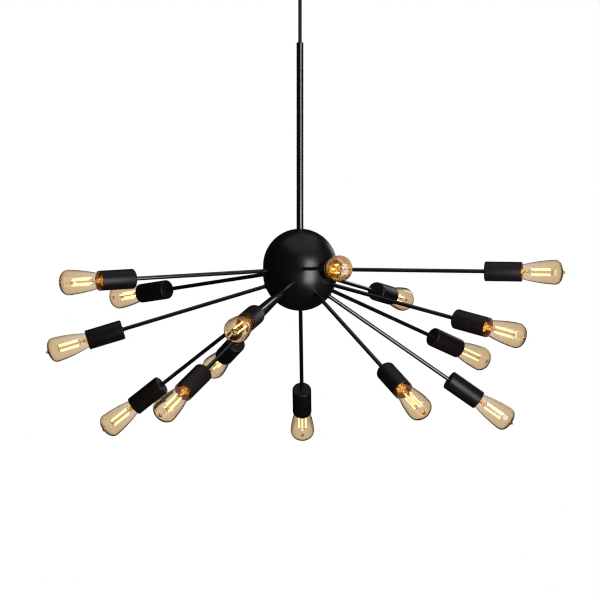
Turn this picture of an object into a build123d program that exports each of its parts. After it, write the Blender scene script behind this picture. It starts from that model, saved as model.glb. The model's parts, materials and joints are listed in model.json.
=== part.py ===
from build123d import *
import math
import os

# Sputnik chandelier: a hub on a short stem, hung from the ceiling by one cord, with fifteen arms in
# three tiers of five. Each arm ends in a plain metal cup that hides a lampholder, and each lampholder
# takes a clear amber bulb with a blunt end.
#
# Millimetres. The origin is on the ceiling, on the axis of the cord. +Z is up, so the whole lamp lies
# below zero. Bearings are seen from above, from +X towards +Y, and the front of the lamp faces -Y.

# ---------------------------------------------------------------- sizes: ceiling end
BOX_SCREW_SPACING = 88.9  # screws of a ceiling junction box, centre to centre
BOX_SLOT_W = 4.6
BOX_SLOT_L = 9.0  # the crossbar's slots let the bar turn a little on the box
CROSSBAR_L = 108.0
CROSSBAR_W = 20.0
CROSSBAR_T = 2.0
CROSSBAR_CORNER_R = 4.0
STUD_SPACING = 66.0  # the two studs that carry the canopy
STUD_D = 4.0
STUD_HEAD_D = 7.0
STUD_HEAD_T = 1.6
CAP_NUT_D = 9.0
CAP_NUT_H = 7.0
STUD_PLAY = 0.2  # round each stud in its hole

CANOPY_D = 120.0
CANOPY_H = 28.0
CANOPY_WALL = 1.2
CANOPY_EDGE_R = 9.0

GLAND_THREAD_D = 10.0
GLAND_HEX = 17.0  # across flats
GLAND_HEX_H = 6.0
GLAND_NOSE_D = 14.0
GLAND_H = 22.0  # from the canopy to the mouth
GLAND_MOUTH_EDGE = 1.5
GLAND_NUT_HEX = 14.0
GLAND_NUT_H = 3.0

# ---------------------------------------------------------------- sizes: cord and stem
CORD_D = 7.2
CORD_FREE_L = 110.0  # from the gland's mouth to the top of the stem
CORD_PLAY = 0.3  # round the cord in the gland and in the stem's bush

STEM_D = 14.0
STEM_WALL = 1.2
STEM_L = 376.0  # from its top to the hub
STEM_EDGE_R = 0.9
STEM_FOOT_H = 6.0  # solid foot that carries the nipple
BUSH_L = 12.0
BUSH_PLAY = 0.1
NIPPLE_D = 10.0
NIPPLE_BORE = 7.6
NIPPLE_L = 12.0  # below the top of the hub
STEM_NUT_HEX = 14.0
STEM_NUT_H = 4.0
STEM_NUT_FLANGE_D = 20.0
STEM_NUT_FLANGE_T = 1.5
STEM_NUT_DISH = 1.0  # how much deeper the flange is at its middle, for its curved seat

# ---------------------------------------------------------------- sizes: hub
HUB_R = 74.0  # both half balls and the straight band between them
HUB_BAND = 16.4
HUB_WALL = 1.5
SEAM_RISE = 2.0  # the seam lies this far above the band, out of the way of the top arms
SPIGOT_DEPTH = 3.2
SPIGOT_WALL = 1.2
SPIGOT_ROOT = 4.0
SPIGOT_PLAY = 0.1

# ---------------------------------------------------------------- sizes: arms
ARM_D = 8.0
ARM_WALL = 1.0
ARM_REACH = 296.6  # from the skin of the hub to the back of the cup
ARM_IN_HUB = 13.0  # threaded end inside the hub
ARM_IN_CUP = 25.0  # threaded end inside the cup
COLLAR_D = 10.4
COLLAR_H = 1.5
HOLE_PLAY = 0.1  # round an arm in the hub and in its cup
ARM_NUT_D = 12.0
ARM_NUT_H = 4.0
THREAD_PLAY = 0.05
SEAT_PLAY = 0.05  # between a seat and the curved skin that it fits

# For each tier: how far its arms' common point lies above the hub's centre, the bearing of its first
# arm, and for its five arms how far each stands off the even spacing and how far it dips, in degrees.
# The lamp was bent up by hand, so no two arms are quite alike.
TOP_RISE = 1.6
LOWER_DROP = 12.4
TIERS = {
    "top": (TOP_RISE, -8.0, [(-0.6, 1.5), (0.7, 2.6), (1.7, 3.1), (0.3, 5.4), (-1.7, 5.0)]),
    "mid": (-LOWER_DROP, 39.5, [(0.2, 16.6), (0.6, 17.7), (-1.7, 17.0), (0.5, 16.4), (1.0, 15.7)]),
    "low": (-LOWER_DROP, 14.0, [(-1.1, 33.5), (3.3, 34.7), (-0.1, 34.9), (2.2, 34.3), (0.5, 33.9)]),
}
ARMS_IN_TIER = 5

# ---------------------------------------------------------------- sizes: cup and lampholder
CUP_D = 39.2
CUP_L = 74.4
CUP_WALL = 1.2
CUP_EDGE_R = 3.0
HOLDER_SET_BACK = 7.0  # from the cup's mouth
HOLDER_D = 33.0
HOLDER_NECK_D = 16.0
HOLDER_NECK_L = 18.0
HOLDER_EDGE = 1.5
CAP_PLAY = 0.4  # round the bulb's cap in the lampholder
TONGUE_D = 8.0
TONGUE_H = 1.0

# ---------------------------------------------------------------- sizes: bulb
BULB_CAP_D = 26.0
BULB_CAP_L = 26.5  # with its contact
CAP_SHELL_L = 20.0
CAP_TIP_D = 9.5
CAP_TIP_L = 1.5
CAP_LIP = 3.0  # the glass sits this deep in the cap
BULB_SET_BACK = 6.3  # the cap's rim is this far inside the cup's mouth
BULB_PULL_GAP = 0.3  # between the contact and the lampholder's tongue
GLASS_WALL = 1.0
GLASS_ROOT_D = 24.0
CEMENT = 0.05  # round the glass in its cap
NECK_D = 29.2  # at the cup's mouth
BELLY_D = 49.4
BELLY_AT = 65.0  # from the cup's mouth
SWELL = 1.7  # how far the side bulges out past a straight line from neck to belly
CROWN_H = 16.5
CROWN_POWER = 0.87  # 1 is a true ellipse, less is blunter
PIP_D = 7.0
PIP_H = 4.4
SKIN_STEPS = 4  # rings of glass from neck to belly, and again from belly to crown

# ---------------------------------------------------------------- levels and places worked out from them
gland_mouth_z = -CANOPY_H - GLAND_H
stem_top_z = gland_mouth_z - CORD_FREE_L
hub_top_z = stem_top_z - STEM_L
band_top_z = hub_top_z - HUB_R
hub_z = band_top_z - HUB_BAND / 2
band_low_z = band_top_z - HUB_BAND
seam_z = band_top_z + SEAM_RISE


def rounded(radius, size, level):
    """Points of a rounded lower edge of a turned piece of this radius, from its flat to its side."""
    turns = [math.radians(a) for a in (0, 30, 60, 90)]
    return [
        (radius - size + size * math.sin(a), level + size - size * math.cos(a)) for a in turns
    ]


def hub_skin(radius):
    """Half outline of the hub at this radius, from its top round to its bottom, about the Z axis."""
    top = (0, band_top_z + radius)
    low = (0, band_low_z - radius)
    slope = radius * math.sqrt(0.5)
    with BuildLine(mode=Mode.PRIVATE) as skin:
        ThreePointArc(top, (slope, band_top_z + slope), (radius, band_top_z))
        Line((radius, band_top_z), (radius, band_low_z))
        ThreePointArc((radius, band_low_z), (slope, band_low_z - slope), low)
        Line(low, top)
    return skin.line


def reach(rise, dip, radius):
    """How far an arm's line runs from the axis of the hub to a skin of this radius."""
    along = radius / math.cos(dip)
    if rise - along * math.sin(dip) > -HUB_BAND / 2:
        return along
    off = rise + HUB_BAND / 2
    fall = off * math.sin(dip)
    return fall + math.sqrt(fall**2 - off**2 + radius**2)


def arm_axis(rise, bearing, dip):
    """The plane square to an arm where its line starts on the axis, with its Z along the arm."""
    turn, drop = math.radians(bearing), math.radians(dip)
    out = (math.cos(turn) * math.cos(drop), math.sin(turn) * math.cos(drop), -math.sin(drop))
    across = (-math.sin(turn), math.cos(turn), 0)
    return Plane(origin=(0, 0, hub_z + rise), x_dir=across, z_dir=out)


def arm_list():
    """Every arm as its name, its plane, and how far along it the hub's inner and outer skins lie."""
    arms = []
    for tier, (rise, first, stances) in TIERS.items():
        for count, (turn, dip) in enumerate(stances):
            bearing = first + turn + count * 360 / ARMS_IN_TIER
            outside = reach(rise, math.radians(dip), HUB_R)
            inside = reach(rise, math.radians(dip), HUB_R - HUB_WALL)
            arms.append((f"{tier}_{count + 1}", arm_axis(rise, bearing, dip), inside, outside))
    return arms


arms = arm_list()
os.makedirs("parts", exist_ok=True)


def save(piece, name):
    """Label a finished piece and write its file."""
    piece.part.label = name
    export_step(piece.part, f"parts/{name}.step")


# ---------------------------------------------------------------- ceiling end
# The crossbar screws to the junction box through two slots. Two studs hang from it.
with BuildPart() as crossbar:
    with BuildSketch(Plane.XY.offset(-CROSSBAR_T)):
        RectangleRounded(CROSSBAR_L, CROSSBAR_W, CROSSBAR_CORNER_R)
        with GridLocations(BOX_SCREW_SPACING, 0, 2, 1):
            SlotOverall(BOX_SLOT_L, BOX_SLOT_W, mode=Mode.SUBTRACT)
        with GridLocations(STUD_SPACING, 0, 2, 1):
            Circle(STUD_D / 2 + STUD_PLAY, mode=Mode.SUBTRACT)
    extrude(amount=CROSSBAR_T)
save(crossbar, "crossbar")

# Canopy: a spun cup, open to the ceiling, with a rounded lower edge.
with BuildPart() as canopy:
    with BuildSketch():
        Circle(CANOPY_D / 2)
    extrude(amount=-CANOPY_H)
    fillet(canopy.edges().group_by(Axis.Z)[0], CANOPY_EDGE_R)
    offset(amount=-CANOPY_WALL, openings=canopy.faces().sort_by(Axis.Z)[-1])
    with BuildSketch(Plane.XY.offset(-CANOPY_H)):
        Circle(GLAND_THREAD_D / 2 + HOLE_PLAY)
        with GridLocations(STUD_SPACING, 0, 2, 1):
            Circle(STUD_D / 2 + STUD_PLAY)
    extrude(amount=CANOPY_WALL, mode=Mode.SUBTRACT)
save(canopy, "canopy")

# Canopy studs: a flat head on top of the bar, a shank down through the canopy, and a domed nut below.
with BuildPart() as canopy_studs:
    with BuildSketch(Plane.XY.offset(-CROSSBAR_T)):
        with GridLocations(STUD_SPACING, 0, 2, 1):
            Circle(STUD_HEAD_D / 2)
    extrude(amount=-STUD_HEAD_T)
    with BuildSketch():
        with GridLocations(STUD_SPACING, 0, 2, 1):
            Circle(STUD_D / 2)
    extrude(amount=-CANOPY_H)
    with BuildSketch(Plane.XY.offset(-CANOPY_H)):
        with GridLocations(STUD_SPACING, 0, 2, 1):
            Circle(CAP_NUT_D / 2)
    extrude(amount=-CAP_NUT_H)
    chamfer(canopy_studs.edges().group_by(Axis.Z)[0], CAP_NUT_D / 4)
save(canopy_studs, "canopy_studs")

# Cord gland: a hollow thread up through the canopy, a hexagon against it and a tapered nose.
with BuildPart() as cord_gland:
    with BuildSketch(Plane.XY.offset(-CANOPY_H)):
        RegularPolygon(GLAND_HEX / 2, 6, major_radius=False)
    extrude(amount=-GLAND_HEX_H)
    with BuildSketch(Plane.XY.offset(-CANOPY_H)):
        Circle(GLAND_THREAD_D / 2)
    extrude(amount=CANOPY_WALL + 2 * GLAND_NUT_H)
    with BuildSketch(Plane.XY.offset(-CANOPY_H - GLAND_HEX_H)):
        Circle(GLAND_HEX / 2)
    with BuildSketch(Plane.XY.offset(gland_mouth_z)):
        Circle(GLAND_NOSE_D / 2)
    loft()
    fillet(cord_gland.edges().group_by(Axis.Z)[0], GLAND_MOUTH_EDGE)
    with BuildSketch(Plane.XY.offset(gland_mouth_z)):
        Circle(CORD_D / 2 + CORD_PLAY)
    extrude(amount=GLAND_H + CANOPY_H, mode=Mode.SUBTRACT)
save(cord_gland, "cord_gland")

with BuildPart() as gland_nut:
    with BuildSketch(Plane.XY.offset(-CANOPY_H + CANOPY_WALL)):
        RegularPolygon(GLAND_NUT_HEX / 2, 6, major_radius=False)
        Circle(GLAND_THREAD_D / 2 + THREAD_PLAY, mode=Mode.SUBTRACT)
    extrude(amount=GLAND_NUT_H)
save(gland_nut, "gland_nut")

# ---------------------------------------------------------------- cord
# The free stretch. Its round ends sit in the gland's mouth and in the stem's bush, centred where it
# bends, so the cord can swing there without touching either.
with BuildPart() as cord:
    with BuildSketch(Plane.XZ):
        with BuildLine():
            ThreePointArc(
                (0, gland_mouth_z + CORD_D / 2),
                (CORD_D / 2 * math.sqrt(0.5), gland_mouth_z + CORD_D / 2 * math.sqrt(0.5)),
                (CORD_D / 2, gland_mouth_z),
            )
            Line((CORD_D / 2, gland_mouth_z), (CORD_D / 2, stem_top_z))
            ThreePointArc(
                (CORD_D / 2, stem_top_z),
                (CORD_D / 2 * math.sqrt(0.5), stem_top_z - CORD_D / 2 * math.sqrt(0.5)),
                (0, stem_top_z - CORD_D / 2),
            )
            Line((0, stem_top_z - CORD_D / 2), (0, gland_mouth_z + CORD_D / 2))
        make_face()
    revolve(axis=Axis.Z)
save(cord, "cord")

# ---------------------------------------------------------------- stem
with BuildPart() as stem_bush:
    with BuildSketch(Plane.XY.offset(stem_top_z)):
        Circle(STEM_D / 2 - STEM_WALL - BUSH_PLAY)
        Circle(CORD_D / 2 + CORD_PLAY, mode=Mode.SUBTRACT)
    extrude(amount=-BUSH_L)
save(stem_bush, "stem_bush")

# Stem: a tube with a rounded top, and a foot that fits the crown of the hub and carries the nipple.
with BuildPart() as stem:
    with BuildSketch(Plane.XY.offset(stem_top_z)):
        Circle(STEM_D / 2)
    extrude(amount=-STEM_L - STEM_FOOT_H / 2)
    fillet(stem.edges().group_by(Axis.Z)[-1], STEM_EDGE_R)
    with BuildSketch(Plane.XZ):
        add(hub_skin(HUB_R + SEAT_PLAY))
        make_face()
    revolve(axis=Axis.Z, mode=Mode.SUBTRACT)
    with BuildSketch(Plane.XY.offset(hub_top_z - NIPPLE_L)):
        Circle(NIPPLE_D / 2)
    extrude(amount=NIPPLE_L + STEM_FOOT_H)
    with BuildSketch(Plane.XY.offset(stem_top_z)):
        Circle(STEM_D / 2 - STEM_WALL)
    extrude(amount=-STEM_L + STEM_FOOT_H, mode=Mode.SUBTRACT)
    with BuildSketch(Plane.XY.offset(stem_top_z)):
        Circle(NIPPLE_BORE / 2)
    extrude(amount=-STEM_L - NIPPLE_L, mode=Mode.SUBTRACT)
save(stem, "stem")

# Flanged nut inside the crown. Its flange is cut to the curve of the shell.
with BuildPart() as stem_nut:
    with BuildSketch(Plane.XY.offset(hub_top_z - HUB_WALL)):
        Circle(STEM_NUT_FLANGE_D / 2)
    extrude(amount=-STEM_NUT_FLANGE_T - STEM_NUT_DISH)
    stem_nut_hex_z = hub_top_z - HUB_WALL - STEM_NUT_FLANGE_T - STEM_NUT_DISH
    with BuildSketch(Plane.XY.offset(stem_nut_hex_z)):
        RegularPolygon(STEM_NUT_HEX / 2, 6, major_radius=False)
    extrude(amount=-STEM_NUT_H)
    with BuildSketch(Plane.XZ):
        add(hub_skin(HUB_R - HUB_WALL - SEAT_PLAY))
        make_face()
    revolve(axis=Axis.Z, mode=Mode.INTERSECT)
    with BuildSketch(Plane.XY.offset(hub_top_z)):
        Circle(NIPPLE_D / 2 + THREAD_PLAY)
    extrude(amount=-NIPPLE_L - STEM_FOOT_H, mode=Mode.SUBTRACT)
save(stem_nut, "stem_nut")

# ---------------------------------------------------------------- hub
# Upper shell: the crown, down to the seam, with a spigot that drops inside the lower shell.
with BuildPart() as hub_crown:
    with BuildSketch(Plane.XZ):
        add(hub_skin(HUB_R))
        make_face()
    revolve(axis=Axis.Z)
    with BuildSketch(Plane.XZ):
        add(hub_skin(HUB_R - HUB_WALL))
        make_face()
    revolve(axis=Axis.Z, mode=Mode.SUBTRACT)
    with BuildSketch(Plane.XY.offset(seam_z)):
        Circle(2 * HUB_R)
    extrude(amount=-2 * (HUB_R + HUB_BAND), mode=Mode.SUBTRACT)
    spigot_r = HUB_R - HUB_WALL - SPIGOT_PLAY
    with BuildSketch(Plane.XY.offset(seam_z - SPIGOT_DEPTH)):
        Circle(spigot_r)
        Circle(spigot_r - SPIGOT_WALL, mode=Mode.SUBTRACT)
    extrude(amount=SPIGOT_DEPTH)
    with BuildSketch(Plane.XY.offset(seam_z)):
        Circle(HUB_R - HUB_WALL / 2)
        Circle(spigot_r - SPIGOT_WALL, mode=Mode.SUBTRACT)
    extrude(amount=SPIGOT_ROOT)
    with BuildSketch(Plane.XY.offset(hub_top_z + HUB_WALL)):
        Circle(NIPPLE_D / 2 + HOLE_PLAY)
    extrude(amount=-HUB_R / 2, mode=Mode.SUBTRACT)
save(hub_crown, "hub_crown")

# Lower shell: the rest of the band and the bowl, with a hole for each arm.
with BuildPart() as hub_bowl:
    with BuildSketch(Plane.XZ):
        add(hub_skin(HUB_R))
        make_face()
    revolve(axis=Axis.Z)
    with BuildSketch(Plane.XZ):
        add(hub_skin(HUB_R - HUB_WALL))
        make_face()
    revolve(axis=Axis.Z, mode=Mode.SUBTRACT)
    with BuildSketch(Plane.XY.offset(seam_z)):
        Circle(2 * HUB_R)
    extrude(amount=2 * HUB_R, mode=Mode.SUBTRACT)
    for name, axis, inside, outside in arms:
        with BuildSketch(axis.offset(inside - ARM_IN_HUB)):
            Circle(ARM_D / 2 + HOLE_PLAY)
        extrude(amount=ARM_IN_HUB + 3 * HUB_WALL, mode=Mode.SUBTRACT)
save(hub_bowl, "hub_bowl")

# ---------------------------------------------------------------- arms
# Each arm is a tube with a collar at each end: one is cut to the skin of the hub, the other is flat
# against the cup. The tube runs on into the hub and into the cup, where it is threaded.
for name, axis, inside, outside in arms:
    cup_back = outside + ARM_REACH
    with BuildPart() as arm:
        with BuildSketch(axis.offset(outside - COLLAR_H)):
            Circle(COLLAR_D / 2)
        extrude(amount=2 * COLLAR_H)
        with BuildSketch(Plane.XZ):
            add(hub_skin(HUB_R + SEAT_PLAY))
            make_face()
        revolve(axis=Axis.Z, mode=Mode.SUBTRACT)
        with BuildSketch(axis.offset(cup_back - COLLAR_H)):
            Circle(COLLAR_D / 2)
        extrude(amount=COLLAR_H)
        with BuildSketch(axis.offset(inside - ARM_IN_HUB)):
            Circle(ARM_D / 2)
        extrude(amount=ARM_IN_HUB + cup_back - inside + ARM_IN_CUP)
        with BuildSketch(axis.offset(inside - ARM_IN_HUB)):
            Circle(ARM_D / 2 - ARM_WALL)
        extrude(amount=ARM_IN_HUB + cup_back - inside + ARM_IN_CUP, mode=Mode.SUBTRACT)
    save(arm, f"arm_{name}")

# One round nut for each arm, inside the hub, with its seat cut to the curve of the shell.
with BuildPart() as arm_nuts:
    for name, axis, inside, outside in arms:
        with BuildSketch(axis.offset(inside - ARM_NUT_H)):
            Circle(ARM_NUT_D / 2)
        extrude(amount=ARM_NUT_H)
    with BuildSketch(Plane.XZ):
        add(hub_skin(HUB_R - HUB_WALL - SEAT_PLAY))
        make_face()
    revolve(axis=Axis.Z, mode=Mode.INTERSECT)
    for name, axis, inside, outside in arms:
        with BuildSketch(axis.offset(inside - ARM_IN_HUB)):
            Circle(ARM_D / 2 + THREAD_PLAY)
        extrude(amount=ARM_IN_HUB + HUB_WALL, mode=Mode.SUBTRACT)
save(arm_nuts, "arm_nuts")

# ---------------------------------------------------------------- cup, lampholder and bulb, once each
# These three are made standing on the XY plane with the cup's back at zero and its mouth up, then set on
# every arm. Depths below are measured from the cup's back.
holder_rim = CUP_L - HOLDER_SET_BACK
cap_rim = CUP_L - BULB_SET_BACK
contact = cap_rim - BULB_CAP_L
holder_bore_floor = contact - BULB_PULL_GAP - TONGUE_H
crown_z = CUP_L + BELLY_AT + CROWN_H

# Cup: drawn from one disc of sheet, with a rounded back edge and a hole for the arm.
with BuildPart() as cup:
    with BuildSketch(Plane.XZ):
        with BuildLine():
            Polyline(
                (ARM_D / 2 + HOLE_PLAY, CUP_WALL),
                (ARM_D / 2 + HOLE_PLAY, 0),
                *rounded(CUP_D / 2, CUP_EDGE_R, 0),
                (CUP_D / 2, CUP_L),
                (CUP_D / 2 - CUP_WALL, CUP_L),
                (CUP_D / 2 - CUP_WALL, CUP_EDGE_R),
                (CUP_D / 2 - CUP_EDGE_R, CUP_WALL),
                close=True,
            )
        make_face()
    revolve(axis=Axis.Z)

# Lampholder: its neck stands on the floor of the cup round the arm's thread, and its bore takes the
# bulb's cap. A low boss in the floor of the bore is the centre contact.
with BuildPart() as holder:
    with BuildSketch(Plane.XY.offset(CUP_WALL)):
        Circle(HOLDER_NECK_D / 2)
    extrude(amount=HOLDER_NECK_L)
    with BuildSketch(Plane.XY.offset(CUP_WALL + HOLDER_NECK_L)):
        Circle(HOLDER_D / 2)
    extrude(amount=holder_rim - CUP_WALL - HOLDER_NECK_L)
    chamfer(holder.edges().group_by(Axis.Z)[-1], HOLDER_EDGE)
    with BuildSketch(Plane.XY.offset(holder_bore_floor)):
        Circle(BULB_CAP_D / 2 + CAP_PLAY)
    extrude(amount=holder_rim - holder_bore_floor, mode=Mode.SUBTRACT)
    with BuildSketch(Plane.XY.offset(holder_bore_floor)):
        Circle(TONGUE_D / 2)
    extrude(amount=contact - BULB_PULL_GAP - holder_bore_floor)
    with BuildSketch(Plane.XY.offset(CUP_WALL)):
        Circle(ARM_D / 2 + THREAD_PLAY)
    extrude(amount=ARM_IN_CUP - CUP_WALL + THREAD_PLAY, mode=Mode.SUBTRACT)

# Bulb cap: a screw shell, a sloping insulator and a contact. The glass sits in its open rim.
with BuildPart() as bulb_cap:
    with BuildSketch(Plane.XZ):
        with BuildLine():
            Polyline(
                (0, contact),
                (CAP_TIP_D / 2, contact),
                (CAP_TIP_D / 2, contact + CAP_TIP_L),
                (BULB_CAP_D / 2, cap_rim - CAP_SHELL_L),
                (BULB_CAP_D / 2, cap_rim),
                (GLASS_ROOT_D / 2, cap_rim),
                (GLASS_ROOT_D / 2, cap_rim - CAP_LIP),
                (0, cap_rim - CAP_LIP),
                close=True,
            )
        make_face()
    revolve(axis=Axis.Z)


def glass_skin(wall, steps):
    """Points of the glass's half outline, this far inside its outer skin, from its root to its crown."""
    rise = [x / steps for x in range(steps + 1)]
    lean = (BELLY_D - NECK_D) / 2
    side = [
        (NECK_D / 2 + lean * x + SWELL * 4 * x * (1 - x) - wall, CUP_L + BELLY_AT * x) for x in rise
    ]
    crown = [
        (
            (BELLY_D / 2 - wall) * math.cos(x * math.pi / 2) ** CROWN_POWER,
            CUP_L + BELLY_AT + (CROWN_H - wall) * math.sin(x * math.pi / 2) ** CROWN_POWER,
        )
        for x in rise[1:-1]
    ]
    root = GLASS_ROOT_D / 2 - CEMENT - wall
    foot = cap_rim - CAP_LIP + CEMENT + wall
    return [(0, foot), (root, foot), (root, cap_rim), *side, *crown, (0, crown_z - wall)]


# Glass: blown, closed at its crown by the pip that is left where it was sealed.
with BuildPart() as glass:
    with BuildSketch(Plane.XZ):
        with BuildLine():
            Polyline(*glass_skin(0, SKIN_STEPS), close=True)
        make_face()
    revolve(axis=Axis.Z)
    with BuildSketch(Plane.XZ):
        with BuildLine():
            Polyline(
                (0, crown_z - GLASS_WALL),
                (PIP_D / 2, crown_z - GLASS_WALL),
                (PIP_D * 0.4, crown_z + PIP_H * 0.6),
                (PIP_D * 0.25, crown_z + PIP_H),
                (0, crown_z + PIP_H),
                close=True,
            )
        make_face()
    revolve(axis=Axis.Z)
    with BuildSketch(Plane.XZ):
        with BuildLine():
            Polyline(*glass_skin(GLASS_WALL, SKIN_STEPS), close=True)
        make_face()
    revolve(axis=Axis.Z, mode=Mode.SUBTRACT)

# ---------------------------------------------------------------- set them on every arm
for name, axis, inside, outside in arms:
    seat = axis.offset(outside + ARM_REACH).location
    with BuildPart() as socket_cup:
        with Locations(seat):
            add(cup.part)
    save(socket_cup, f"socket_cup_{name}")
    with BuildPart() as bulb:
        with Locations(seat):
            add(glass.part)
            add(bulb_cap.part)
    save(bulb, f"bulb_{name}")

with BuildPart() as lampholders:
    with Locations([axis.offset(outside + ARM_REACH).location for name, axis, inside, outside in arms]):
        add(holder.part)
save(lampholders, "lampholders")

drop = hub_z - band_low_z + HUB_R
print(f"hub centre {hub_z:.1f} below the ceiling, bottom of the hub {hub_z - drop:.1f}")
print(f"cord {CORD_FREE_L:.0f} long, {CORD_D:.1f} across, straight")
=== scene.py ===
# %% [markdown]
# # Sputnik chandelier
# A black ball hangs from a thin stem and a cord. Fifteen arms leave it in three tiers of five, and each
# ends in a plain cup with a small amber bulb. The CAD model gives every place and size. These cells
# give it light, finishes, and the parts that a solid model leaves out: blown glass, screw threads,
# glowing sticks, wires and the weave of the cord.

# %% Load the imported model
import json
import math

import bmesh
import bpy
from mathutils import Matrix, Vector


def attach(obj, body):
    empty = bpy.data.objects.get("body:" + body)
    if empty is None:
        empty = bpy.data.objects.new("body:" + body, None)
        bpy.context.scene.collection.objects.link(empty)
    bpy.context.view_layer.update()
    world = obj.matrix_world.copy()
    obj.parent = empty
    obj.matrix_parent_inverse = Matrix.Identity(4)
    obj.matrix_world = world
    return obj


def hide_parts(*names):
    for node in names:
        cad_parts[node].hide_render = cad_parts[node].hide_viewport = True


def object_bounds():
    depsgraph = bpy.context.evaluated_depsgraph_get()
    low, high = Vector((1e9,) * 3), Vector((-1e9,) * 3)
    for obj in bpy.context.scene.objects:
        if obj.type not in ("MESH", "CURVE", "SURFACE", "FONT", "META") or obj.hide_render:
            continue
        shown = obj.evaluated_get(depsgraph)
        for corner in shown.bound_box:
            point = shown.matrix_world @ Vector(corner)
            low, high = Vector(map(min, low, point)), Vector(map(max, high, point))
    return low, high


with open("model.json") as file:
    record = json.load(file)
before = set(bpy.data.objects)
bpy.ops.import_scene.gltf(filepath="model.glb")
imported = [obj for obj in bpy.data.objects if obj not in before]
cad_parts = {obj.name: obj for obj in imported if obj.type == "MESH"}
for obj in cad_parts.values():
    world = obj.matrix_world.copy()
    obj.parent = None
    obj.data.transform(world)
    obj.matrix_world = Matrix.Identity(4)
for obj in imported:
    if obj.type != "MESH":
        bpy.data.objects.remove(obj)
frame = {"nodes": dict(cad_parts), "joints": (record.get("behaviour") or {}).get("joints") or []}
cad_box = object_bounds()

scene = bpy.context.scene
nodes = frame["nodes"]
MM = 0.001
low, high = ([round(v, 3) for v in corner] for corner in cad_box)
print(f"{len(nodes)} CAD nodes, box {low} to {high}")

# %% [markdown]
# ## Camera
# The picture was taken from a little below the ball with a long lens, so the near and the far bulbs are
# almost the same size. A 225 mm lens seven and a half metres away gives that, tilted up by a few degrees
# because the ball sits above the middle of the picture.

# %% Set up the camera
CAMERA_PLACE = (0.0, -7.48, -1.286)
CAMERA_TILT = 4.64  # degrees above level
CAMERA_LENS = 225.4

camera_data = bpy.data.cameras.new("long_lens")
camera_data.lens = CAMERA_LENS
camera_data.sensor_width = 36.0
camera_data.clip_end = 100.0
camera = bpy.data.objects.new("camera", camera_data)
camera.location = CAMERA_PLACE
camera.rotation_euler = (math.radians(90 + CAMERA_TILT), 0, 0)
scene.collection.objects.link(camera)
scene.camera = camera
print(f"camera {-CAMERA_PLACE[1]:.2f} m in front, tilted up {CAMERA_TILT} degrees")

# %% [markdown]
# ## Small helpers for materials
# A hex colour is written for the screen, and a shader wants it linear, so one function converts it. Another
# adds a node, sets it and links it in one line, which keeps each material short enough to read. A third
# starts a material that is empty but for its output.

# %% Colour and node helpers
def hue(code):
    """An sRGB hex colour as linear red, green, blue and alpha."""
    parts = [int(code[i : i + 2], 16) / 255 for i in (1, 3, 5)]
    return tuple(c / 12.92 if c <= 0.04045 else ((c + 0.055) / 1.055) ** 2.4 for c in parts) + (1.0,)


def add(tree, kind, inputs=None, stops=(), **settings):
    """Add a node. inputs maps its sockets to values, or to the outputs that feed them.

    stops are the two places and colours of a colour ramp.
    """
    made = tree.nodes.new(kind)
    for name, value in settings.items():
        setattr(made, name, value)
    for socket, value in (inputs or {}).items():
        if isinstance(value, bpy.types.NodeSocket):
            tree.links.new(value, made.inputs[socket])
        else:
            made.inputs[socket].default_value = value
    for k, (place, colour) in enumerate(stops):
        made.color_ramp.elements[k].position = place
        made.color_ramp.elements[k].color = colour
    return made


def blank_material(name):
    """A material with nothing in it but its output node."""
    made = bpy.data.materials.new(name)
    made.use_nodes = True
    made.node_tree.nodes.clear()
    return made, made.node_tree, made.node_tree.nodes.new("ShaderNodeOutputMaterial")


print("mid grey #808080 is", [round(c, 4) for c in hue("#808080")[:3]], "in linear light")

# %% [markdown]
# ## Room and light
# The lamp hangs before a white wall. Camera rays and rays through glass see that wall at full white.
# Gloss sees it almost dark, as a wall outside the lamps' light would look, which is why the ball keeps a
# black rim. One tall softbox stands close on the right at the ball's height: it draws the bright patch on
# the ball and the stripes on some cups. A narrow one over it, kept off everything but the stem, carries the
# bright line up to the stem's top. A wide dim one overhead lifts the crown, and a small one behind on the
# right edges the farthest cups.

# %% White world
world = bpy.data.worlds.new("white_wall")
world.use_nodes = True
sky = world.node_tree
sky.nodes.clear()
WALL_IN_GLOSS = 0.015
ROOM_FILL = 0.12
ray = add(sky, "ShaderNodeLightPath")
seen = add(sky, "ShaderNodeMath", {
    0: ray.outputs["Is Camera Ray"], 1: ray.outputs["Is Transmission Ray"]}, operation="MAXIMUM")
room = add(sky, "ShaderNodeBackground", {"Color": hue("#ffffff"), "Strength": ROOM_FILL})
dim_wall = add(sky, "ShaderNodeBackground", {"Color": hue("#ffffff"), "Strength": WALL_IN_GLOSS})
white_wall = add(sky, "ShaderNodeBackground", {"Color": hue("#ffffff"), "Strength": 1.0})
for_gloss = add(sky, "ShaderNodeMixShader", {
    0: ray.outputs["Is Glossy Ray"], 1: room.outputs[0], 2: dim_wall.outputs[0]})
for_eye = add(sky, "ShaderNodeMixShader", {
    0: seen.outputs[0], 1: for_gloss.outputs[0], 2: white_wall.outputs[0]})
add(sky, "ShaderNodeOutputWorld", {"Surface": for_eye.outputs[0]})
scene.world = world
scene.view_settings.view_transform = "Standard"
scene.cycles.use_denoising = True
scene.cycles.denoising_input_passes = "RGB"  # glass in front of glass blurs the other passes
scene.cycles.sample_clamp_indirect = 3.0  # no bright specks from the sticks
scene.cycles.filter_width = 1.2  # a crisp lens
print(f"wall: 1 to the eye, {WALL_IN_GLOSS} in gloss, {ROOM_FILL} as fill")


# %% Softboxes
HUB_CENTRE = Vector((0, 0, -0.6182))


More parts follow.
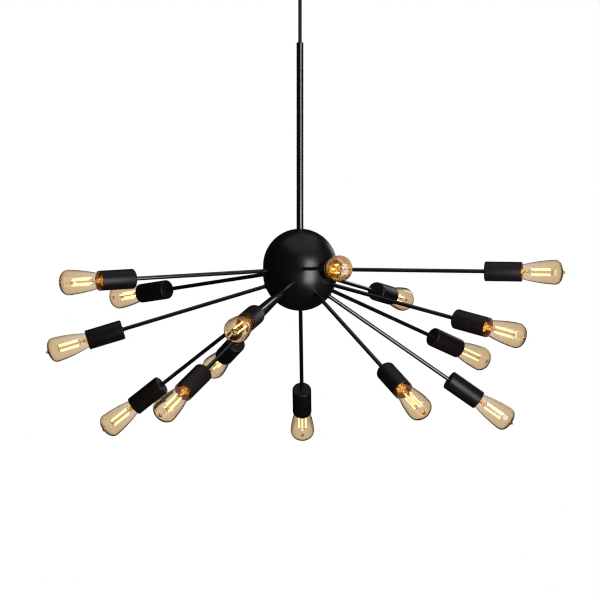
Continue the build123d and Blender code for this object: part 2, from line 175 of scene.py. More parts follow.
def softbox(name, place, aim, width, height, glow):
    """A rectangular lamp at place, facing aim. glow is how bright its face looks, where 1 is white."""
    lamp = bpy.data.lights.new(name, "AREA")
    lamp.shape = "RECTANGLE"
    lamp.size, lamp.size_y = width, height
    lamp.energy = glow * math.pi * width * height
    made = bpy.data.objects.new(name, lamp)
    made.location = place
    made.rotation_mode = "QUATERNION"
    made.rotation_quaternion = (Vector(aim) - Vector(place)).to_track_quat("-Z", "Y")
    made.visible_camera = False
    made.visible_transmission = False  # a bulb between the eye and the lamp stays amber
    scene.collection.objects.link(made)
    print(f"{name}: {width} by {height} m, {lamp.energy:.1f} W")
    return made


STEM_TOP_HALF = Vector((0, 0, -0.30))  # a point in the stem's upper half

softbox("softbox_right", (0.72, -1.20, -0.86), HUB_CENTRE, 0.70, 1.10, 8.0)
softbox("softbox_overhead", (0.2, -0.5, 1.2), HUB_CENTRE, 3.0, 2.6, 0.42)
strip = softbox("softbox_right_high", (0.74, -1.18, 0.10), STEM_TOP_HALF, 0.30, 0.95, 13.0)
only_stem = bpy.data.collections.new("lit_by_the_strip")
only_stem.objects.link(nodes["stem"])
strip.light_linking.receiver_collection = only_stem
softbox("softbox_behind", (1.3, 2.0, 0.1), HUB_CENTRE, 0.5, 0.9, 2.0)

# %% [markdown]
# ## Floor
# A pale matt floor lies well under the lamp. The camera sees none of it, but the other views do. Its
# underside lets light and sight through, so the lamp can be looked at from below. Like the wall it is pale
# to the eye and dark in gloss, or the underside of every cup would turn grey.

# %% Floor
FLOOR_LEVEL = -2.0
FLOOR_HALF = 14.0
FLOOR_TO_EYE = 0.72  # added to what the floor reflects
MOTTLE_PER_METRE = 1.5  # clouds some two thirds of a metre apart

floor_mesh = bpy.data.meshes.new("floor")
corners = [(x * FLOOR_HALF, y * FLOOR_HALF, FLOOR_LEVEL) for x, y in ((-1, -1), (1, -1), (1, 1), (-1, 1))]
floor_mesh.from_pydata(corners, [], [(0, 1, 2, 3)])
floor = bpy.data.objects.new("floor", floor_mesh)
scene.collection.objects.link(floor)
pale_floor, tree, out = blank_material("pale_matt_floor")
where = add(tree, "ShaderNodeTexCoord").outputs["Object"]
mottle = add(tree, "ShaderNodeTexNoise", {"Vector": where, "Scale": MOTTLE_PER_METRE, "Detail": 4.0})
tone = add(tree, "ShaderNodeValToRGB", {"Fac": mottle.outputs["Fac"]},
           stops=((0, hue("#f2f1ef")), (1, hue("#fbfbfa")))).outputs[0]
matt = add(tree, "ShaderNodeBsdfPrincipled", {"Base Color": tone, "Roughness": 0.9})
ray = add(tree, "ShaderNodeLightPath")
seen = add(tree, "ShaderNodeMath", {
    0: ray.outputs["Is Camera Ray"], 1: ray.outputs["Is Transmission Ray"]}, operation="MAXIMUM")
lift = add(tree, "ShaderNodeMath", {0: seen.outputs[0], 1: FLOOR_TO_EYE}, operation="MULTIPLY")
shine = add(tree, "ShaderNodeEmission", {"Color": tone, "Strength": lift.outputs[0]})
pale = add(tree, "ShaderNodeAddShader", {0: matt.outputs[0], 1: shine.outputs[0]})
dark = add(tree, "ShaderNodeBsdfDiffuse", {"Color": hue("#3a3938")})
top = add(tree, "ShaderNodeMixShader", {
    0: ray.outputs["Is Glossy Ray"], 1: pale.outputs[0], 2: dark.outputs[0]})
clear = add(tree, "ShaderNodeBsdfTransparent")
side = add(tree, "ShaderNodeNewGeometry")
both = add(tree, "ShaderNodeMixShader", {
    0: side.outputs["Backfacing"], 1: top.outputs[0], 2: clear.outputs[0]})
tree.links.new(both.outputs[0], out.inputs["Surface"])
floor_mesh.materials.append(pale_floor)
print(f"floor {FLOOR_LEVEL} m down")


# %% [markdown]
# ## Black paint
# Ball, stem, arms, cups and canopy are steel, powder coated black. The powder melts into a skin with a
# faint orange peel, a few millimetres from hill to hill, and a satin gloss that varies a little. On the
# thin tubes it lies smoother under a clear lacquer, so they carry one crisp line of light. The cups were
# sprayed with a flatter powder, so their lights are softer and their black is browner.

# %% Powder coat
PEEL_SIZE = 2.2  # mm from hill to hill, drawn a little coarse so that it shows
CLOUD_SIZE = 38.0  # mm between duller and glossier places
GLOSS_VARIES = 0.03  # roughness either way
SHADE_DARKEST, SHADE_LIGHTEST = 0.82, 1.2  # times its colour


def powder_coat(name, colour, roughness, peel_depth, shine=0.5, lacquer=0.0):
    """Satin or matt powder coat on steel. shine is its specular level, lacquer a clear coat over it."""
    made, tree, out = blank_material(name)
    where = add(tree, "ShaderNodeTexCoord").outputs["Object"]
    peel = add(tree, "ShaderNodeTexNoise", {"Vector": where, "Scale": 1 / (PEEL_SIZE * MM), "Detail": 2.0})
    cloud = add(tree, "ShaderNodeTexNoise", {"Vector": where, "Scale": 1 / (CLOUD_SIZE * MM), "Detail": 3.0})
    base = Vector(hue(colour)[:3])
    shade = add(tree, "ShaderNodeValToRGB", {"Fac": cloud.outputs["Fac"]},
                stops=((0, (*(SHADE_DARKEST * base), 1)), (1, (*(SHADE_LIGHTEST * base), 1))))
    gloss = add(tree, "ShaderNodeMapRange", {
        "Value": cloud.outputs["Fac"], "From Min": 0.3, "From Max": 0.7,
        "To Min": roughness - GLOSS_VARIES, "To Max": roughness + GLOSS_VARIES})
    bump = add(tree, "ShaderNodeBump", {"Height": peel.outputs["Fac"], "Distance": peel_depth * MM})
    skin = add(tree, "ShaderNodeBsdfPrincipled", {
        "Base Color": shade.outputs[0], "Roughness": gloss.outputs[0], "IOR": 1.5,
        "Specular IOR Level": shine, "Coat Weight": lacquer, "Coat Roughness": 0.1,
        "Normal": bump.outputs[0]})
    tree.links.new(skin.outputs[0], out.inputs["Surface"])
    return made


satin_black = powder_coat("satin_black_powder_coat", "#0e0e10", 0.33, 0.0012)
tube_black = powder_coat("smooth_black_tube_coat", "#0d0c0d", 0.22, 0.0002, lacquer=1.0)
matt_black = powder_coat("matt_black_powder_coat", "#171211", 0.40, 0.002, shine=0.3)
print("powder coats:", satin_black.name, tube_black.name, matt_black.name)

# %% [markdown]
# ## Small and hidden finishes
# The crossbar hides in the canopy and is only zinc plated: a bright grey metal with fine cloudy
# crystals. The gland is moulded nylon, a soft black with a faint texture from its mould. The
# lampholders are phenolic, a hard brown-black plastic with a swirl from the moulding. A bulb's cap is
# rolled brass, yellow and almost smooth, with a ring of black glass that shines like wet tar and a contact
# of tin, dull and a little lumpy from the solder. Its wires are drawn nickel, smooth and warm beside the
# sticks.

# %% Small finishes
def cloudy(name, dark, light, size, roughness, metallic, depth):
    """A finish whose tone and relief follow one cloudy pattern of this size in millimetres."""
    made, tree, out = blank_material(name)
    where = add(tree, "ShaderNodeTexCoord").outputs["Object"]
    cloud = add(tree, "ShaderNodeTexNoise", {
        "Vector": where, "Scale": 1 / (size * MM), "Detail": 5.0, "Distortion": 0.6})
    shade = add(tree, "ShaderNodeValToRGB", {"Fac": cloud.outputs["Fac"]},
                stops=((0.35, hue(dark)), (0.65, hue(light))))
    bump = add(tree, "ShaderNodeBump", {"Height": cloud.outputs["Fac"], "Distance": depth * MM})
    skin = add(tree, "ShaderNodeBsdfPrincipled", {
        "Base Color": shade.outputs[0], "Roughness": roughness, "Metallic": metallic,
        "Normal": bump.outputs[0]})
    tree.links.new(skin.outputs[0], out.inputs["Surface"])
    return made


zinc = cloudy("zinc_plated_steel", "#a9aaa8", "#c9cac6", 6.0, 0.34, 1.0, 0.01)
nylon = cloudy("moulded_black_nylon", "#131314", "#1b1b1c", 1.2, 0.5, 0.0, 0.02)
phenolic = cloudy("moulded_phenolic", "#150f0c", "#241a14", 9.0, 0.28, 0.0, 0.004)
brass = cloudy("rolled_brass", "#b98a3c", "#d6ac5b", 3.0, 0.26, 1.0, 0.006)
cap_glass = cloudy("black_cap_glass", "#08080a", "#101014", 4.0, 0.12, 0.0, 0.003)
tin = cloudy("tinned_contact", "#a7a39a", "#c4c1b8", 1.5, 0.38, 1.0, 0.03)
nickel = cloudy("nickel_wire", "#a98f5f", "#c9b184", 2.0, 0.25, 1.0, 0.002)
print("finishes:", ", ".join(m.name for m in (zinc, nylon, phenolic, brass, cap_glass, tin, nickel)))

# %% Give the CAD nodes their finishes
PAINTED = {
    satin_black: ["canopy", "canopy_studs", "hub_crown", "hub_bowl"],
    tube_black: ["stem"] + [n for n in nodes if n.startswith("arm_") and n != "arm_nuts"],
    zinc: ["crossbar", "stem_nut", "arm_nuts"],
    nylon: ["cord_gland", "gland_nut", "stem_bush"],
    phenolic: ["lampholders"],
}
for finish, names in PAINTED.items():
    for name in names:
        nodes[name].data.materials.clear()
        nodes[name].data.materials.append(finish)
print({m.name: len(names) for m, names in PAINTED.items()})


# %% [markdown]
# ## Turned parts
# Cup, bulb and cap are all round, so one function spins an outline about its own axis, as a lathe or a
# spinning chuck does. A second one rounds the corners of an outline, because no real edge is sharp and
# the highlight on a rounded edge is what tells the eye that it is metal.

# %% Lathe helpers
def eased(outline, steps=5):
    """An outline whose points are (radius, height, corner radius), with its corners rounded into arcs."""
    points = []
    count = len(outline)
    for i, (r, z, ease) in enumerate(outline):
        here = Vector((r, z))
        if not ease:
            points.append(tuple(here))
            continue
        before = (Vector(outline[i - 1][:2]) - here).normalized()
        after = (Vector(outline[(i + 1) % count][:2]) - here).normalized()
        half = before.angle(after) / 2
        centre = here + (before + after).normalized() * ease / math.sin(half)
        start = here + before * ease / math.tan(half) - centre
        end = here + after * ease / math.tan(half) - centre
        sweep = start.angle_signed(end)
        for k in range(steps + 1):
            spun = start.copy()
            spun.rotate(Matrix.Rotation(-sweep * k / steps, 2))
            points.append(tuple(centre + spun))
    return points


def turned(shape, outline, turns=64, slot=0, closed=True, place=Matrix()):
    """Spin an outline of (radius, height) points in millimetres into a bmesh."""
    rings = []
    for r, z in outline:
        if r < 1e-6:
            rings.append([shape.verts.new(place @ Vector((0, 0, z * MM)))])
            continue
        angles = [2 * math.pi * k / turns for k in range(turns)]
        spots = [Vector((r * math.cos(a), r * math.sin(a), z)) * MM for a in angles]
        rings.append([shape.verts.new(place @ spot) for spot in spots])
    pairs = list(zip(rings, rings[1:])) + ([(rings[-1], rings[0])] if closed else [])
    for low, high in pairs:
        for k in range(turns):
            n = (k + 1) % turns
            corners = [low[k % len(low)], low[n % len(low)], high[n % len(high)], high[k % len(high)]]
            corners = list(dict.fromkeys(corners))
            if len(corners) > 2:
                shape.faces.new(corners).material_index = slot
    return shape


def finished_mesh(name, shape, materials, sharp=40):
    """A bmesh as a mesh with its normals outward, smooth but for edges sharper than this many degrees."""
    bmesh.ops.recalc_face_normals(shape, faces=shape.faces)
    mesh = bpy.data.meshes.new(name)
    shape.to_mesh(mesh)
    shape.free()
    for finish in materials:
        mesh.materials.append(finish)
    mesh.shade_smooth()
    mesh.set_sharp_from_angle(angle=math.radians(sharp))
    print(f"{name}: {len(mesh.polygons)} faces")
    return mesh


# %% [markdown]
# ## Where each arm ends
# Every bulb slides out of its cup along its arm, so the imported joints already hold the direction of
# each arm. The flat back of a cup is its point nearest the ball along that line. From these two comes
# one seat for each arm, and every cup and bulb is the same mesh set on fifteen seats.

# %% Seats
ARM_ROOTS = {"top": -0.6166, "mid": -0.6306, "low": -0.6306}  # where each tier's arms would meet
# degrees by which each bulb is turned in its cup, as no two are screwed in alike
SPINS = {"top_1": 0, "top_2": 30, "top_3": 60, "top_4": 10, "top_5": 50,
         "mid_1": 20, "mid_2": 70, "mid_3": 5, "mid_4": 35, "mid_5": 80,
         "low_1": 15, "low_2": 45, "low_3": 65, "low_4": 40, "low_5": 25}
seats = {}
for joint in frame["joints"]:
    if not joint["name"].startswith("bulb_out_"):
        continue
    arm = joint["name"].removeprefix("bulb_out_")
    along = Vector(joint["axis"]).normalized()
    root = Vector((0, 0, ARM_ROOTS[arm[:3]]))
    back = min((v.co - root).dot(along) for v in nodes[f"socket_cup_{arm}"].data.vertices)
    across = Vector((0, 0, 1)).cross(along).normalized()
    seat = Matrix((across, along.cross(across), along)).transposed().to_4x4()
    seats[arm] = Matrix.Translation(root + along * back) @ seat
print(f"{len(seats)} seats, the first {[round(v, 4) for v in seats['top_1'].translation]}")


def set_on(arm, name, mesh, body, spin=0.0):
    """Put a shared mesh on an arm's seat and let it ride on a body."""
    made = bpy.data.objects.new(f"{name}_{arm}", mesh)
    made.matrix_world = seats[arm] @ Matrix.Rotation(math.radians(spin), 4, "Z")
    scene.collection.objects.link(made)
    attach(made, body)
    return made


# %% [markdown]
# ## Cups
# Each cup is drawn from one disc of steel: a flat back, a rounded corner, a straight wall and a cut
# mouth. The mesh follows the CAD wall, and adds the smooth corner and the small rounding of the rim
# that catches a thin line of light. Inside, the bulb throws a brown-orange light on the black wall. Paths
# through curved glass are slow to find, so a faint glow that fades into the cup stands for that light.

# %% Cups
CUP_R, CUP_L, CUP_WALL, CUP_EDGE = 19.6, 74.4, 1.2, 3.0
CUP_HOLE = 4.1
RIM_EASE = 0.45
LIT_FROM, LIT_TO = 66.0, 81.0  # mm from the back, where the light on the inner wall starts and is full
LIT_CLOUD, LIT_RAGGED = 5.0, 9.0  # mm: the size of a cloudy pattern, and how far it moves the light's edge

cup_outline = eased([
    (CUP_HOLE, CUP_WALL, 0), (CUP_HOLE, 0, 0), (CUP_R, 0, CUP_EDGE), (CUP_R, CUP_L, RIM_EASE),
    (CUP_R - CUP_WALL, CUP_L, RIM_EASE), (CUP_R - CUP_WALL, CUP_WALL, CUP_EDGE - CUP_WALL),
], steps=6)

lit_inside, tree, out = blank_material("matt_black_lit_by_the_bulb")
where = add(tree, "ShaderNodeTexCoord").outputs["Object"]
cloud = add(tree, "ShaderNodeTexNoise", {"Vector": where, "Scale": 1 / (LIT_CLOUD * MM), "Detail": 3.0})
depth = add(tree, "ShaderNodeSeparateXYZ", {"Vector": where})
ragged = add(tree, "ShaderNodeMath", {
    0: cloud.outputs["Fac"], 1: LIT_RAGGED * MM, 2: depth.outputs["Z"]}, operation="MULTIPLY_ADD")
lit = add(tree, "ShaderNodeMapRange", {
    "Value": ragged.outputs[0], "From Min": LIT_FROM * MM, "From Max": LIT_TO * MM})
warmth = add(tree, "ShaderNodeValToRGB", {"Fac": lit.outputs[0]},
             stops=((0, hue("#050302")), (1, hue("#8a4a1c"))))
skin = add(tree, "ShaderNodeBsdfPrincipled", {
    "Base Color": hue("#221c1b"), "Roughness": 0.4, "Emission Color": warmth.outputs[0],
    "Emission Strength": 1.0})
tree.links.new(skin.outputs[0], out.inputs["Surface"])

cup_shape = turned(bmesh.new(), cup_outline, 72)
for face in cup_shape.faces:
    middle = face.calc_center_median() / MM
    if math.hypot(middle.x, middle.y) < CUP_R - 0.8 and middle.z > CUP_WALL / 2:  # inside the wall
        face.material_index = 1
cup_mesh = finished_mesh("drawn_cup", cup_shape, [matt_black, lit_inside])
for arm in seats:
    cup = set_on(arm, "cup", cup_mesh, "pendant")
    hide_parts(f"socket_cup_{arm}")

# %% [markdown]
# ## Amber glass
# The bulb is blown soda glass with the colour in the glass itself. Real walls about a millimetre thick
# bend the light, and a volume inside them takes out blue and some green, so the rim, where the eye
# looks along the wall, comes out darker than the middle. The rim of real glass also turns away from the
# bright wall and mirrors the dark room. That dark reflection is painted into the tint, which deepens to
# brown where the surface slants away from the eye. Round the seal of the crown the painted band is wider.

# %% Glass
AMBER_PER_METRE = 650.0  # how strongly the dye takes out its part of the light
CROWN_BAND = (144.0, 155.0)  # mm from the back of the cup, where the deep band widens
CROWN_WIDER = 0.22  # added to the slant there
BLOWN_WAVES, BLOWN_DEPTH = 14.0, 0.05  # mm, the faint unevenness of blown glass
PRESSED_WAVES, PRESSED_DEPTH = 3.5, 0.3  # mm, the deeper one of the pressed mount

amber, tree, out = blank_material("blown_amber_glass")
where = add(tree, "ShaderNodeTexCoord").outputs["Object"]
# the dark rim is a painted reflection: the tint turns brown where the surface slants away from the eye, more
# so round the crown's seal
slant = add(tree, "ShaderNodeLayerWeight", {"Blend": 0.5})
height = add(tree, "ShaderNodeSeparateXYZ", {"Vector": where})
crown = add(tree, "ShaderNodeMapRange", {
    "Value": height.outputs["Z"], "From Min": CROWN_BAND[0] * MM, "From Max": CROWN_BAND[1] * MM,
    "To Max": CROWN_WIDER})
painted_rim_weight = add(tree, "ShaderNodeMath", {
    0: slant.outputs["Facing"], 1: crown.outputs[0]}, operation="ADD")
tint_and_painted_rim = add(tree, "ShaderNodeValToRGB", {"Fac": painted_rim_weight.outputs[0]},
           stops=((0.58, hue("#f0ebe6")), (0.90, hue("#3c2a1c"))))
waves = add(tree, "ShaderNodeTexNoise", {"Vector": where, "Scale": 1 / (BLOWN_WAVES * MM), "Detail": 1.0})
bump = add(tree, "ShaderNodeBump", {"Height": waves.outputs["Fac"], "Distance": BLOWN_DEPTH * MM})
skin = add(tree, "ShaderNodeBsdfPrincipled", {
    "Base Color": tint_and_painted_rim.outputs[0], "Roughness": 0.0, "IOR": 1.5, "Transmission Weight": 1.0,
    "Normal": bump.outputs[0]})
dye = add(tree, "ShaderNodeVolumeAbsorption", {"Color": hue("#f3dfb0"), "Density": AMBER_PER_METRE})
tree.links.new(skin.outputs[0], out.inputs["Surface"])
tree.links.new(dye.outputs[0], out.inputs["Volume"])

pressed_glass, tree, out = blank_material("pressed_mount_glass")
where = add(tree, "ShaderNodeTexCoord").outputs["Object"]
waves = add(tree, "ShaderNodeTexNoise", {"Vector": where, "Scale": 1 / (PRESSED_WAVES * MM), "Detail": 2.0})
# brown to gold in random clouds; the same colour is also its emission, a painted glow that stands for the
# sticks' light on the mount
smoke_and_painted_glow = add(tree, "ShaderNodeValToRGB", {"Fac": waves.outputs["Fac"]},
            stops=((0.38, hue("#6e3c10")), (0.62, hue("#f2c25e")))).outputs[0]
bump = add(tree, "ShaderNodeBump", {"Height": waves.outputs["Fac"], "Distance": PRESSED_DEPTH * MM})
skin = add(tree, "ShaderNodeBsdfPrincipled", {
    "Base Color": smoke_and_painted_glow, "Roughness": 0.12, "IOR": 1.52, "Transmission Weight": 0.25,
    "Emission Color": smoke_and_painted_glow, "Emission Strength": 0.75, "Normal": bump.outputs[0]})
tree.links.new(skin.outputs[0], out.inputs["Surface"])
print("glass:", amber.name, pressed_glass.name)

# %% [markdown]
# ## Bulb glass
# From the mouth of the cup the glass swells in a long slow curve to its belly, then turns over into a
# blunt crown. The little pip at the end is where the tube was melted shut. The inner skin runs one
# wall thickness inside, and both meet in the root that is cemented in the cap.

# %% Bulb glass
NECK_R, BELLY_R, BELLY_AT, SWELL = 14.6, 24.7, 65.0, 1.7
CROWN_H, CROWN_POWER = 16.5, 0.87
GLASS_WALL = 1.0
NECK_THIN = 0.45  # the neck is blown thinner, so it is paler
ROOT_R = 11.95
CAP_RIM = 68.1  # the brass cap's rim, from the back of the cup
ROOT_DEPTH = 2.9
crown_z = CUP_L + BELLY_AT + CROWN_H


def glass_skin(wall, side_steps=20, crown_steps=16):
    """Points of the glass from the mouth to the crown, this far inside its outer skin at the belly."""
    points = []
    for k in range(side_steps + 1):
        x = k / side_steps
        r = NECK_R + (BELLY_R - NECK_R) * x + SWELL * 4 * x * (1 - x)
        points.append((r - wall * (NECK_THIN + (1 - NECK_THIN) * x), CUP_L + BELLY_AT * x))
    for k in range(1, crown_steps):
        a = k / crown_steps * math.pi / 2
        points.append(((BELLY_R - wall) * math.cos(a) ** CROWN_POWER,
                       CUP_L + BELLY_AT + (CROWN_H - wall) * math.sin(a) ** CROWN_POWER))
    return points


# radius and height above the crown, outside and inside
PIP = [(3.9, 0.05), (3.2, 0.6), (2.85, 1.4), (2.7, 2.3), (2.35, 3.2), (1.7, 3.9), (0.9, 4.25), (0, 4.4)]
PIP_HOLLOW = [(2.6, -0.9), (1.9, -0.2), (1.7, 1.2), (1.2, 2.6), (0, 3.2)]
outer = [(ROOT_R, CAP_RIM - ROOT_DEPTH), (ROOT_R, CAP_RIM)] + glass_skin(0)
outer = [p for p in outer if p[0] > 5 or p[1] < crown_z - 3] + [(r, crown_z + z) for r, z in PIP]
inner = [(ROOT_R - GLASS_WALL, CAP_RIM - ROOT_DEPTH), (ROOT_R - GLASS_WALL, CAP_RIM)]
inner += glass_skin(GLASS_WALL)
inner = [p for p in inner if p[0] > 4 or p[1] < crown_z - 4]
inner += [(r, crown_z + z) for r, z in PIP_HOLLOW]
bulb_shape = turned(bmesh.new(), outer + inner[::-1], 64)
glass_mesh = finished_mesh("bulb_glass", bulb_shape, [amber], sharp=60)

# %% [markdown]
# ## Screw cap
# The cap is thin brass rolled into a coarse round thread. Below it a ring of black glass carries the
# tinned contact. The thread is a real helix: the swell of each ring of points sits a little further round
# the axis than that of the ring below.

# %% Screw cap
THREAD_PITCH, THREAD_R, THREAD_DEPTH = 3.6, 12.55, 0.42
SHELL_LOW = CAP_RIM - 20.0
CONTACT_Z = CAP_RIM - 26.5
THREAD_FADE = 2.0  # mm in which the thread dies out at both ends

cap_shape = bmesh.new()
TURNS, LIFTS = 56, 60
rings = []
for lift in range(LIFTS + 1):
    z = SHELL_LOW + (CAP_RIM - 0.5 - SHELL_LOW) * lift / LIFTS
    fade = min(1.0, (z - SHELL_LOW) / THREAD_FADE, (CAP_RIM - 2.0 - z) / THREAD_FADE)
    ring = []
    for k in range(TURNS):
        a = 2 * math.pi * k / TURNS
        wave = math.cos(2 * math.pi * z / THREAD_PITCH - a) * max(0.0, fade)
        r = (THREAD_R + THREAD_DEPTH * wave) * MM
        ring.append(cap_shape.verts.new((r * math.cos(a), r * math.sin(a), z * MM)))
    rings.append(ring)
for low, high in zip(rings, rings[1:]):
    for k in range(TURNS):
        n = (k + 1) % TURNS
        cap_shape.faces.new((low[k], low[n], high[n], high[k]))
rim = [(THREAD_R, CAP_RIM - 0.5), (12.9, CAP_RIM - 0.3), (12.9, CAP_RIM), (12.0, CAP_RIM),
       (12.0, CAP_RIM - 3.0), (11.6, CAP_RIM - 3.0), (11.6, SHELL_LOW + 0.4), (THREAD_R, SHELL_LOW)]
turned(cap_shape, rim, TURNS, closed=False)
insulator = eased([(0, SHELL_LOW + 0.3, 0), (11.9, SHELL_LOW + 0.3, 0), (11.9, SHELL_LOW - 0.6, 0.8),
                   (4.75, CONTACT_Z + 1.5, 0.4), (0, CONTACT_Z + 1.5, 0)], 4)
turned(cap_shape, insulator, TURNS, slot=1)
contact = [(0, 1.5), (4.6, 1.5), (4.6, 0.9), (3.6, 0.25), (2.0, 0.05), (0, 0)]
contact = [(r, CONTACT_Z + z) for r, z in contact]
turned(cap_shape, contact, 32, slot=2)
bmesh.ops.remove_doubles(cap_shape, verts=cap_shape.verts, dist=0.01 * MM)
cap_mesh = finished_mesh("screw_cap", cap_shape, [brass, cap_glass, tin])

# %% [markdown]
# ## Inside the bulb
# A glass mount stands in the neck. It was pressed shut round its wires while red hot, which left it
# smoky brown. Its colour runs from brown to gold in random clouds, and the same colour is given off as a
# painted glow that stands for the sticks' light on it. Bent wires run from its pinched top to four straight
# sticks, and a thin rod in the middle ends in a cross that holds their far ends. Each stick is a row of
# tiny diodes under a yellow coat, so it glows as one warm line with faint beads.

# %% Glowing sticks
STICK_R, STICK_LOW, STICK_L, STICK_RING = 1.35, CUP_L + 18.5, 39.0, 7.4
BEAD_SPACING = 1.6  # mm from diode to diode

glow, tree, out = blank_material("glowing_diode_stick")
WAVES_PER_UNIT = 20 / (2 * math.pi)  # the pattern's own scale
where = add(tree, "ShaderNodeTexCoord").outputs["Object"]
beads = add(tree, "ShaderNodeTexWave", {
    "Vector": where, "Scale": 1 / (WAVES_PER_UNIT * BEAD_SPACING * MM)},
    wave_type="BANDS", bands_direction="Z")
heat = add(tree, "ShaderNodeValToRGB", {"Fac": beads.outputs["Fac"]},
           stops=((0, hue("#ffd58e")), (1, hue("#ffe0a8"))))
skin = add(tree, "ShaderNodeBsdfPrincipled", {
    "Base Color": hue("#f0c040"), "Roughness": 0.4, "Emission Color": heat.outputs[0],
    "Emission Strength": 3.2})
tree.links.new(skin.outputs[0], out.inputs["Surface"])

stick_shape = bmesh.new()
stick_outline = eased([(0, 0, 0), (STICK_R, 0, 0.5), (STICK_R, STICK_L, 0.5), (0, STICK_L, 0)], 3)
corners_of_ring = [math.radians(45 + 90 * k) for k in range(4)]
for a in corners_of_ring:
    spot = Matrix.Translation((STICK_RING * MM * math.cos(a), STICK_RING * MM * math.sin(a), STICK_LOW * MM))
    turned(stick_shape, stick_outline, 12, closed=False, place=spot)
stick_mesh = finished_mesh("diode_sticks", stick_shape, [glow])

# %% Wires and mount
def bent_wire(curve, points, thickness):
    """Add one run of wire through points in millimetres."""
    run = curve.splines.new("POLY")
    run.points.add(len(points) - 1)
    for spot, (x, y, z) in zip(run.points, points):
        spot.co = (x * MM, y * MM, z * MM, 1)
        spot.radius = thickness


WIRE_R = 0.35
MOUNT_TOP = CUP_L + 13.0
STICK_HIGH = STICK_LOW + STICK_L
wires = bpy.data.curves.new("bulb_wires", "CURVE")
wires.dimensions = "3D"
wires.bevel_depth = WIRE_R * MM
wires.bevel_resolution = 2
wires.use_fill_caps = True
bent_wire(wires, [(0, 0, MOUNT_TOP - 3), (0, 0, STICK_HIGH + 2.6)], 1.2)
for a in corners_of_ring:
    x, y = STICK_RING * math.cos(a), STICK_RING * math.sin(a)
    bent_wire(wires, [(x * 0.22, y * 0.12, MOUNT_TOP - 4), (x * 0.3, y * 0.2, MOUNT_TOP + 0.5),
                      (x * 0.95, y * 0.95, STICK_LOW - 2.2), (x, y, STICK_LOW - 1.2),
                      (x, y, STICK_LOW + 0.3)], 1.0)
    bent_wire(wires, [(x, y, STICK_HIGH - 0.3), (x, y, STICK_HIGH + 1.2),
                      (x * 0.9, y * 0.9, STICK_HIGH + 2.0), (0, 0, STICK_HIGH + 2.4)], 1.5)
drawn = bpy.data.objects.new("bulb_wires", wires)
scene.collection.objects.link(drawn)
bpy.context.view_layer.update()
wire_mesh = bpy.data.meshes.new_from_object(drawn.evaluated_get(bpy.context.evaluated_depsgraph_get()))
bpy.data.objects.remove(drawn)
wire_mesh.name = "bent_wires"
wire_mesh.materials.clear()
wire_mesh.materials.append(nickel)

mount_outline = [(ROOT_R - 1.3, CAP_RIM - 2.6), (9.5, CAP_RIM - 1.0), (6.6, CAP_RIM + 1.5),
                 (4.9, CAP_RIM + 4.5), (4.4, CUP_L + 3), (4.2, CUP_L + 7), (3.8, CUP_L + 10),
                 (2.6, MOUNT_TOP - 0.6), (0, MOUNT_TOP)]
mount_inside = [(0, CUP_L + 5.0), (2.6, CUP_L + 4.0), (3.3, CUP_L + 1.5), (3.8, CAP_RIM + 4.0),
                (5.6, CAP_RIM + 1.0), (8.6, CAP_RIM - 1.6), (ROOT_R - 2.0, CAP_RIM - 2.8)]
mount_shape = turned(bmesh.new(), mount_outline + mount_inside, 40)
for vert in mount_shape.verts:  # pinched flat towards the top
    pinch = min(1.0, max(0.0, (vert.co.z / MM - CUP_L - 3.0) / 5.0))
    vert.co.y *= 1 - 0.55 * pinch
    vert.co.x *= 1 + 0.25 * pinch
mount_mesh = finished_mesh("glass_mount", mount_shape, [pressed_glass], sharp=60)

# %% Set a bulb in every cup
INSIDE_BULB = {"screw_cap": cap_mesh, "diode_sticks": stick_mesh, "bulb_wires": wire_mesh,
               "glass_mount": mount_mesh}
for arm in seats:
    body = f"bulb_{arm}"
    spin = SPINS[arm]
    glass = set_on(arm, "bulb_glass", glass_mesh, body, spin)
    glass.visible_shadow = False  # lamps light the wires and the cup straight through the glass
    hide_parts(f"bulb_{arm}")
    for name, mesh in INSIDE_BULB.items():
        set_on(arm, name, mesh, body, spin=spin)
print("bulbs set in", len(seats), "cups")

# %% [markdown]
# ## Cord
# A three-core flex under a braided black sleeve. It hangs straight, pulled tight by the lamp, from the
# gland to the top of the stem. The braid is two families of threads that cross, drawn as the product of
# two slanted waves round the cord.

# %% Braided sleeve
CORD_D = 7.2
CARRIERS = 12  # threads in each direction round the cord
BRAID_LIFT = 2.6  # mm of cord for one crossing
FIBRE_SIZE = 0.3  # mm, the fuzz on the threads

braid, tree, out = blank_material("braided_black_sleeve")
where = add(tree, "ShaderNodeTexCoord").outputs["Object"]
fibres = add(tree, "ShaderNodeTexNoise", {"Vector": where, "Scale": 1 / (FIBRE_SIZE * MM), "Detail": 2.0})
spot = add(tree, "ShaderNodeSeparateXYZ", {"Vector": where})
angle = add(tree, "ShaderNodeMath", {0: spot.outputs["Y"], 1: spot.outputs["X"]}, operation="ARCTAN2")
around = add(tree, "ShaderNodeMath", {0: angle.outputs[0], 1: CARRIERS / 2}, operation="MULTIPLY")
climb = add(tree, "ShaderNodeMath", {
    0: spot.outputs["Z"], 1: math.pi / (BRAID_LIFT * MM)}, operation="MULTIPLY")
left = add(tree, "ShaderNodeMath", {0: around.outputs[0], 1: climb.outputs[0]}, operation="ADD")
right = add(tree, "ShaderNodeMath", {0: around.outputs[0], 1: climb.outputs[0]}, operation="SUBTRACT")
left_wave = add(tree, "ShaderNodeMath", {0: left.outputs[0]}, operation="SINE")
right_wave = add(tree, "ShaderNodeMath", {0: right.outputs[0]}, operation="SINE")
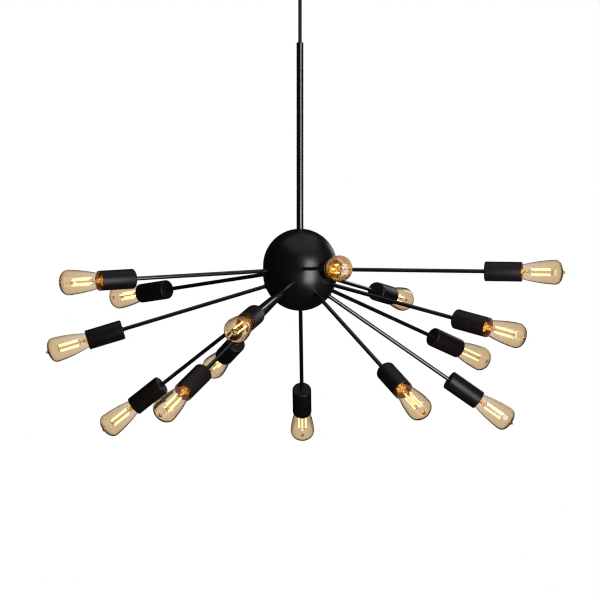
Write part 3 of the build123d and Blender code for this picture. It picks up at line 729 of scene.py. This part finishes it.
weave = add(tree, "ShaderNodeMath", {
    0: left_wave.outputs[0], 1: right_wave.outputs[0]}, operation="MULTIPLY")
mound = add(tree, "ShaderNodeMath", {0: weave.outputs[0]}, operation="ABSOLUTE")
height = add(tree, "ShaderNodeMath", {
    0: fibres.outputs["Fac"], 1: 0.3, 2: mound.outputs[0]}, operation="MULTIPLY_ADD")
# the sleeve's colour is darker in the hollows between the threads than on their crowns: painted shade
shade = add(tree, "ShaderNodeValToRGB", {"Fac": mound.outputs[0]},
            stops=((0, hue("#060607")), (1, hue("#1d1c1e"))))
bump = add(tree, "ShaderNodeBump", {"Height": height.outputs[0], "Distance": 0.25 * MM})
skin = add(tree, "ShaderNodeBsdfPrincipled", {
    "Base Color": shade.outputs[0], "Roughness": 0.6, "Sheen Weight": 0.15, "Normal": bump.outputs[0]})
tree.links.new(skin.outputs[0], out.inputs["Surface"])
print(f"{CARRIERS} threads each way, {BRAID_LIFT} mm to a crossing")

# %% Cord
CORD_ROUTE = [(0, 0, -0.050), (0, 0, -0.160)]  # the gland's mouth and the top of the stem

route = bpy.data.curves.new("cord_route", "CURVE")
route.dimensions = "3D"
line = route.splines.new("NURBS")
line.points.add(len(CORD_ROUTE) - 1)
for spot, place in zip(line.points, CORD_ROUTE):
    spot.co = (*place, 1)
line.order_u = 3
line.use_endpoint_u = True
laid = bpy.data.objects.new("cord_route", route)
path = [v.co.copy() for v in bpy.data.meshes.new_from_object(laid).vertices]
bpy.data.objects.remove(laid)
print(f"cord follows {len(path)} points from {path[0].z:.3f} to {path[-1].z:.3f}")

CORD_R = CORD_D / 2
dome = [(CORD_R * math.sin(a), CORD_R * math.cos(a)) for a in (math.radians(15 * k) for k in range(7))]
cord_outline = [(r, path[0].z / MM + z) for r, z in dome]
cord_outline += [(CORD_R, spot.z / MM) for spot in path[1:-1]]
cord_outline += [(r, path[-1].z / MM - z) for r, z in dome[::-1]]
cord_shape = turned(bmesh.new(), cord_outline, 32, closed=False)
cord_mesh = finished_mesh("braided_cord", cord_shape, [braid])
cord = bpy.data.objects.new("braided_cord", cord_mesh)
scene.collection.objects.link(cord)
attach(cord, "cord")
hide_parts("cord")
